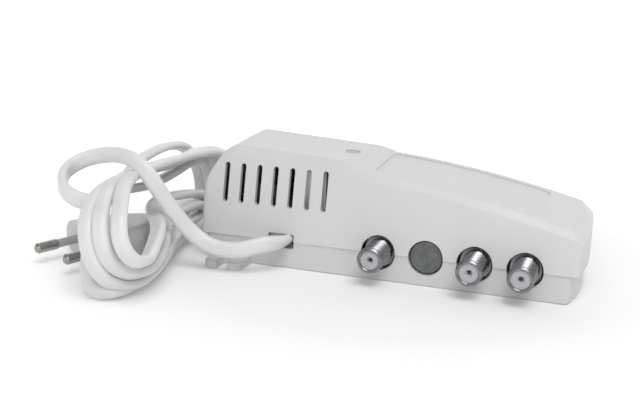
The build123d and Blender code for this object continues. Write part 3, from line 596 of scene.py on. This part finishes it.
def spline_points(points):
    """Points read from a smooth spline whose control points are given."""
    curve = bpy.data.curves.new("cord_line", "CURVE")
    curve.dimensions = "3D"
    spline = curve.splines.new("NURBS")
    spline.points.add(len(points) - 1)
    for spot, place in zip(spline.points, points):
        spot.co = (*place, 1.0)
    spline.order_u = SPLINE_ORDER
    spline.use_endpoint_u = True
    spline.resolution_u = SPLINE_STEPS
    holder = bpy.data.objects.new("cord_line", curve)
    line = bpy.data.meshes.new_from_object(holder)
    found = [v.co.copy() for v in line.vertices]
    bpy.data.objects.remove(holder)
    bpy.data.curves.remove(curve)
    bpy.data.meshes.remove(line)
    return found


def flat_section():
    """Outline of the flat cord: two round cores side by side, with a shallow groove between."""
    r = CORD_THICK / 2
    half = CORD_WIDE / 2 - r
    found = []
    for i in range(SECTION_POINTS):
        angle = 2 * math.pi * (i + 0.5) / SECTION_POINTS
        x = r * math.cos(angle) + half * math.tanh(CORE_SPREAD * math.cos(angle))
        y = r * math.sin(angle)
        groove = GROOVE_DEPTH * r * math.exp(-((x / (GROOVE_WIDTH * r)) ** 2))
        found.append((x, y - math.copysign(groove, y)))
    return found


def side_ways(line, ways):
    """Way of the wide side at each point of the line, between the given ways, smoothed."""
    aligned = [Vector(ways[0]).normalized()]
    for way in ways[1:]:
        unit = Vector(way).normalized()
        aligned.append(-unit if unit.dot(aligned[-1]) < 0 else unit)
    last = len(aligned) - 1
    found = []
    for i in range(len(line)):
        t = i / (len(line) - 1) * last
        a = min(int(t), last - 1)
        found.append(aligned[a].lerp(aligned[a + 1], t - a))
    for _ in range(SIDE_SMOOTHING):
        before = found[:1] * 2 + found[:-2]
        after = found[2:] + found[-1:] * 2
        found = [(a + b * 2 + c) / 4 for a, b, c in zip(before, found, after)]
    return found


def lay_tube(bm, line, sides, section):
    """Section carried along the line with its wide way near the given sides."""
    rings = []
    last = None
    for i, spot in enumerate(line):
        ahead = (line[min(i + 1, len(line) - 1)] - line[max(i - 1, 0)]).normalized()
        wide = sides[i] - ahead * sides[i].dot(ahead)
        if last is not None and wide.dot(last) < 0:
            wide = -wide
        wide.normalize()
        last = wide
        thick = ahead.cross(wide).normalized()
        rings.append([bm.verts.new(spot + wide * x + thick * y) for x, y in section])
    bridge(bm, rings)
    bm.faces.new(rings[0][::-1])
    bm.faces.new(rings[-1])
    bmesh.ops.recalc_face_normals(bm, faces=bm.faces)


def make_cord(surface):
    route = cord_route()
    line = spline_points([p for p, _ in route])
    bm = bmesh.new()
    lay_tube(bm, line, side_ways(line, [way for _, way in route]), flat_section())
    obj = put("mains_cord", bm, surface)
    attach(obj, "amplifier")
    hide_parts("cord_free", "cord_hank")


# Sockets

SOCKETS = {"left": 0.0, "middle": 0.036, "right": 0.054}
SOCKET_SIDES = 64
SOCKET_SHARP = 40

BARREL_R = 0.0047625
BORE_R = 0.0035
MOUTH_Y = -0.035
BORE_END_Y = -0.0140
COLLAR_Y = -0.0212
BLOCK_Y = -0.0206

THREAD_PITCH = 0.000794
THREAD_DEPTH = 0.00043
THREAD_FLAT = 0.12
THREAD_FADE = THREAD_PITCH * 0.8
THREAD_START = MOUTH_Y + 0.0011
THREAD_STOP = COLLAR_Y + 0.0012
RINGS_PER_TURN = 8

# Plain sleeve inside the collar, over the thread's inner end, from the front inward
SLEEVE = [
    (COLLAR_Y + 0.0002, BARREL_R),
    (THREAD_STOP + 0.0001, BARREL_R),
]
# From the thread over the chamfered mouth into the bore
MOUTH = [
    (THREAD_START - 0.0001, BARREL_R),
    (MOUTH_Y + 0.00055, BARREL_R),
    (MOUTH_Y + 0.00010, BARREL_R - 0.00042),
    (MOUTH_Y, BARREL_R - 0.00055),
    (MOUTH_Y, BORE_R + 0.00022),
    (MOUTH_Y + 0.00018, BORE_R + 0.00003),
    (MOUTH_Y + 0.0006, BORE_R),
    (BORE_END_Y, BORE_R),
]
# Collar between the barrel and the block
COLLAR = [
    (COLLAR_Y, 0.0046),
    (COLLAR_Y, 0.0057),
    (COLLAR_Y + 0.0002, 0.0059),
    (BLOCK_Y, 0.0059),
    (BLOCK_Y, 0.0050),
]

# Block on the board: two cheeks with a roof and a floor between, open in the middle
BLOCK_DEPTH = (BLOCK_Y, -0.0132)
BLOCK_HEIGHT = (0.0050, 0.0166)
CHEEKS = ((-0.0060, -0.0036), (0.0036, 0.0060))
ROOF_WIDTH = (-0.0040, 0.0040)
ROOF_HEIGHTS = ((0.0144, 0.0166), (0.0050, 0.0072))
BLOCK_EDGE = 0.0003

# Solder tabs under the block
TABS = ((-0.0052, -0.0042), (0.0042, 0.0052))
TAB_DEPTH = (-0.0178, -0.0168)
TAB_HEIGHT = (0.0026, 0.0055)
TAB_EDGE = 0.0001


def thread_radius(y, turn):
    """Radius of the threaded barrel at a depth and a share of a turn."""
    fade = min(1.0, (y - THREAD_START) / THREAD_FADE, (THREAD_STOP - y) / THREAD_FADE)
    phase = ((y - THREAD_START) / THREAD_PITCH + turn) % 1.0
    valley = (abs(phase - 0.5) * 2 - THREAD_FLAT) / (1 - 2 * THREAD_FLAT)
    return BARREL_R - THREAD_DEPTH * min(1.0, max(0.0, valley)) * fade


def threaded_barrel(bm, x):
    """Barrel with a helical thread of 32 turns to the inch, its mouth and its bore."""
    length = THREAD_STOP - THREAD_START
    steps = round(length / THREAD_PITCH * RINGS_PER_TURN)
    turns = [i / SOCKET_SIDES for i in range(SOCKET_SIDES)]
    thread = []
    for s in range(steps + 1):
        y = THREAD_START + length * s / steps
        thread.append([round_vertex(bm, x, y, thread_radius(y, turn), turn) for turn in turns])
    sleeve = turned_rings(bm, x, SLEEVE, SOCKET_SIDES)
    mouth = turned_rings(bm, x, MOUTH, SOCKET_SIDES)
    bridge(bm, sleeve + thread[::-1] + mouth)


def across(x, span):
    """A span along X, moved to the socket's axis."""
    return (x + span[0], x + span[1])


def make_socket(side, x, surface):
    bm = bmesh.new()
    threaded_barrel(bm, x)
    bridge(bm, turned_rings(bm, x, COLLAR, SOCKET_SIDES))
    for span in CHEEKS:
        block(bm, across(x, span), BLOCK_DEPTH, BLOCK_HEIGHT, BLOCK_EDGE)
    for height in ROOF_HEIGHTS:
        block(bm, across(x, ROOF_WIDTH), BLOCK_DEPTH, height, BLOCK_EDGE)
    for span in TABS:
        block(bm, across(x, span), TAB_DEPTH, TAB_HEIGHT, TAB_EDGE)
    bmesh.ops.recalc_face_normals(bm, faces=bm.faces)
    obj = put("socket_shell_" + side, bm, surface, SOCKET_SHARP)
    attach(obj, "amplifier")
    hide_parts("connector_shell_" + side)


# Gain disc

KNOB_X = 0.018
KNOB_SIDES = 120
KNOB_SHARP = 50
KNOB_R = 0.0062
KNOB_FACE_Y = -0.0225
KNOB_BACK_Y = -0.0206
STEM_R = 0.0030
STEM_END_Y = -0.0139
FACE_SINK = 0.00020
FACE_CROWN = 0.00012
FACE_R = KNOB_R - 0.0015
FACE_STEP = 0.00010
SLOT_DEPTH = 0.00022
SLOT_HALF_WIDTH = 0.00075
SLOT_SIDE_SLOPE = 0.00030
SLOT_HALF_LENGTH = 0.0034
SLOT_END_SLOPE = 0.00040

# From the stem's end round the disc's rim to the dished face
KNOB_PROFILE = [
    (STEM_END_Y, 0.0001),
    (STEM_END_Y, STEM_R - 0.0003),
    (STEM_END_Y - 0.0003, STEM_R),
    (KNOB_BACK_Y, STEM_R),
    (KNOB_BACK_Y, KNOB_R - 0.0002),
    (KNOB_BACK_Y - 0.0002, KNOB_R),
    (KNOB_FACE_Y + 0.00055, KNOB_R),
    (KNOB_FACE_Y + 0.00015, KNOB_R - 0.00032),
    (KNOB_FACE_Y, KNOB_R - 0.00070),
    (KNOB_FACE_Y, KNOB_R - 0.00115),
    (KNOB_FACE_Y + FACE_SINK, KNOB_R - 0.00140),
]


def knob_face_y(r, turn):
    """Depth of the knob's face at a radius and a share of a turn: low crown, faint coin slot."""
    angle = 2 * math.pi * turn
    x = r * math.cos(angle)
    z = r * math.sin(angle)
    side = min(1.0, max(0.0, (SLOT_HALF_WIDTH - abs(x)) / SLOT_SIDE_SLOPE))
    end = min(1.0, max(0.0, (SLOT_HALF_LENGTH - abs(z)) / SLOT_END_SLOPE))
    crown = FACE_CROWN * (1 - (r / KNOB_R) ** 2)
    return KNOB_FACE_Y + FACE_SINK - crown + SLOT_DEPTH * side * end


def make_knob(surface):
    """Turning disc set back in the wall: chamfered rim, shallow slot, stem behind."""
    bm = bmesh.new()
    rings = turned_rings(bm, KNOB_X, KNOB_PROFILE, KNOB_SIDES)
    turns = [i / KNOB_SIDES for i in range(KNOB_SIDES)]
    for k in range(round(FACE_R / FACE_STEP), 0, -1):
        r = k * FACE_STEP
        rings.append([round_vertex(bm, KNOB_X, knob_face_y(r, turn), r, turn) for turn in turns])
    bridge(bm, rings)
    bm.faces.new(rings[0])
    bm.faces.new(rings[-1])
    bmesh.ops.recalc_face_normals(bm, faces=bm.faces)
    obj = put("knob_disc", bm, surface, KNOB_SHARP)
    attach(obj, "gain_knob")
    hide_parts("gain_knob")


# Floor and light

FLOOR_HALF = 1.6
FLOOR_HALF_WIDTH = 3.0
SWEEP_R = 0.8
SWEEP_STEPS = 12
SWEEP_TOP = 3.0
PLAIN_HALF = 20.0
PLAIN_Z = -0.002

# The paper's own light, near the object and further off: distance from the origin, strength
GLOW_NEAR = (0.08, 0.06)
GLOW_FAR = (0.30, 0.55)

WORLD_LIGHT = 0.48


def far_glow(paper):
    """The paper's own light: faint round the object, full further off."""
    distance = paper.node("ShaderNodeVectorMath")
    distance.operation = "LENGTH"
    paper.link(paper.coords, distance.inputs[0])
    near, near_glow = GLOW_NEAR
    far, most_glow = GLOW_FAR
    spread = paper.node("ShaderNodeMapRange", From_Min=near, From_Max=far, To_Min=near_glow, To_Max=most_glow)
    paper.link(distance.outputs["Value"], spread.inputs["Value"])
    return spread.outputs["Result"]


def floor_paper():
    """White paper that gives off a little light of its own."""
    white = as_color(1.0)
    made = Surface("floor_paper", (0.85, 0.85, 0.85), 0.9, Specular_IOR_Level=0.1, Emission_Color=white)
    made.link(far_glow(made), made.shader.inputs["Emission Strength"])
    made.bump(made.noise(300.0, detail=2.0), strength=0.02, distance=0.0001)
    return made


def make_floor():
    """White sweep that curves up far behind the object, on a wide plain of the same paper."""
    profile = [(-FLOOR_HALF, 0.0), (FLOOR_HALF, 0.0)]
    for i in range(1, SWEEP_STEPS + 1):
        angle = math.pi / 2 * i / SWEEP_STEPS
        profile.append((FLOOR_HALF + SWEEP_R * math.sin(angle), SWEEP_R * (1 - math.cos(angle))))
    profile.append((FLOOR_HALF + SWEEP_R, SWEEP_TOP))
    bm = bmesh.new()
    left = [bm.verts.new((-FLOOR_HALF_WIDTH, y, z)) for y, z in profile]
    right = [bm.verts.new((FLOOR_HALF_WIDTH, y, z)) for y, z in profile]
    for i in range(len(profile) - 1):
        bm.faces.new((left[i], right[i], right[i + 1], left[i + 1]))
    corners = ((-1, -1), (1, -1), (1, 1), (-1, 1))
    bm.faces.new([bm.verts.new((x * PLAIN_HALF, y * PLAIN_HALF, PLAIN_Z)) for x, y in corners])
    obj = put("floor", bm, floor_paper())


def area_light(name, place, target, size, power):
    """Rectangular lamp at a place, facing the target."""
    light = bpy.data.lights.new(name, "AREA")
    light.shape = "RECTANGLE"
    light.size, light.size_y = size
    light.energy = power
    obj = bpy.data.objects.new(name, light)
    obj.location = place
    obj.rotation_mode = "QUATERNION"
    obj.rotation_quaternion = (Vector(target) - Vector(place)).to_track_quat("-Z", "Y")
    bpy.context.scene.collection.objects.link(obj)


def make_light():
    """Even white surroundings, a soft key light from above and a weak one from the front."""
    world = bpy.data.worlds.new("studio")
    world.use_nodes = True
    background = world.node_tree.nodes["Background"]
    set_inputs(background, {"Color": as_color(1.0), "Strength": WORLD_LIGHT})
    bpy.context.scene.world = world
    bpy.context.scene.view_settings.view_transform = "Standard"
    area_light("key", place=(0.35, -0.60, 1.1), target=(0, 0, 0), size=(0.7, 0.7), power=8.0)
    area_light("fill", place=(0.1, -1.1, 0.55), target=(0, 0, 0.02), size=(1.0, 0.8), power=2.6)


# Together

make_camera()
materials = slot_materials()
paint_nodes(materials)
make_cord(cord_vinyl())
for side, x in SOCKETS.items():
    make_socket(side, x, materials["plated_metal"])
make_knob(materials["knob_grey"])
make_floor()
make_light()
